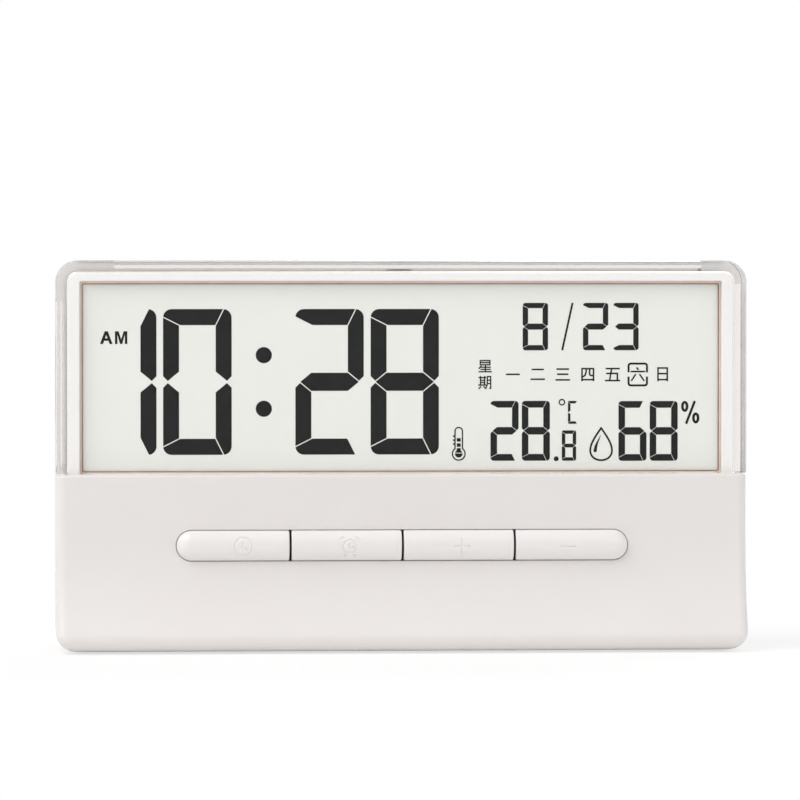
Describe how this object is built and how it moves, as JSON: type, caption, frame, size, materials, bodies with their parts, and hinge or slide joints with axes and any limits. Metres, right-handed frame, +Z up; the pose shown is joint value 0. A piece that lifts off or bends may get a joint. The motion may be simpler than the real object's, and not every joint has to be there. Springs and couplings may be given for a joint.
{
  "type": "digital alarm clock",
  "caption": "Free-standing digital alarm clock: white base with a pill of domed keys under a clear-covered reflective display of time, date, temperature and humidity.",
  "frame": {"origin": "middle of the bounding box on the surface that the feet stand on", "axes": "+X to the viewer's right along the width, +Y to the rear, +Z up; the display faces -Y"},
  "size_m": [0.14, 0.04, 0.0793],
  "materials": {
    "white_plastic": "satin moulded white plastic with a fine grain",
    "clear_plastic": "polished clear plastic",
    "frame_plastic": "satin white plastic",
    "key_plastic": "satin white plastic",
    "gasket_foam": "matt foam tape",
    "display_film": "matt grey-green polarising film",
    "display_ink": "dark display segments",
    "display_glass": "clear glass",
    "reflector_foil": "brushed foil",
    "zebra_rubber": "layered silicone rubber",
    "board_resin": "green solder mask",
    "chip_epoxy": "cured epoxy drop",
    "steel": "zinc-plated steel",
    "nickel": "nickel-plated steel",
    "black_plastic": "matt black plastic",
    "sensor_plastic": "pale plastic",
    "cell_jacket": "printed foil jacket",
    "red_lead": "coloured lead insulation",
    "black_lead": "coloured lead insulation",
    "foot_rubber": "matt pale rubber"
  },
  "bodies": {
    "clock": {"front_housing": "white_plastic", "rear_housing": "white_plastic", "clear_cover": "clear_plastic", "lcd_frame": "frame_plastic", "lcd_back_plate": "frame_plastic", "lcd_gasket": "gasket_foam", "lcd_film": "display_film", "lcd_front_glass": "display_glass", "lcd_rear_glass": "display_glass", "lcd_reflector": "reflector_foil", "zebra_strip": "zebra_rubber", "time_switch": "black_plastic", "alarm_switch": "black_plastic", "plus_switch": "black_plastic", "minus_switch": "black_plastic", "buzzer": "black_plastic", "climate_sensor": "sensor_plastic", "main_board": "board_resin", "controller_chip": "chip_epoxy", "quartz_crystal": "steel", "case_screw_1": "steel", "case_screw_2": "steel", "case_screw_3": "steel", "case_screw_4": "steel", "board_screw_1": "steel", "board_screw_2": "steel", "board_screw_3": "steel", "board_screw_4": "steel", "upper_cell": "cell_jacket", "lower_cell": "cell_jacket", "upper_spring": "nickel", "lower_spring": "nickel", "bridge_contact": "nickel", "positive_contact": "nickel", "negative_contact": "nickel", "red_lead": "red_lead", "black_lead": "black_lead", "rubber_foot_1": "foot_rubber", "rubber_foot_2": "foot_rubber", "rubber_foot_3": "foot_rubber", "rubber_foot_4": "foot_rubber"},
    "time_key": {"time_key": "key_plastic", "time_plunger": "sensor_plastic"},
    "alarm_key": {"alarm_key": "key_plastic", "alarm_plunger": "sensor_plastic"},
    "plus_key": {"plus_key": "key_plastic", "plus_plunger": "sensor_plastic"},
    "minus_key": {"minus_key": "key_plastic", "minus_plunger": "sensor_plastic"},
    "battery_door": {"battery_door": "white_plastic"}
  },
  "joints": [
    {"name": "time_press", "type": "slide", "parent": "clock", "child": "time_key", "axis": [0, 1, 0], "range_m": [0, 0.0005], "stiffness_N_per_m": 600, "springref_m": -0.001},
    {"name": "alarm_press", "type": "slide", "parent": "clock", "child": "alarm_key", "axis": [0, 1, 0], "range_m": [0, 0.0005], "stiffness_N_per_m": 600, "springref_m": -0.001},
    {"name": "plus_press", "type": "slide", "parent": "clock", "child": "plus_key", "axis": [0, 1, 0], "range_m": [0, 0.0005], "stiffness_N_per_m": 600, "springref_m": -0.001},
    {"name": "minus_press", "type": "slide", "parent": "clock", "child": "minus_key", "axis": [0, 1, 0], "range_m": [0, 0.0005], "stiffness_N_per_m": 600, "springref_m": -0.001},
    {"name": "door_swing", "type": "hinge", "parent": "clock", "child": "battery_door", "pos_m": [0, 0.0189, 0.00435], "axis": [-1, 0, 0], "range_deg": [0, 80]}
  ]
}
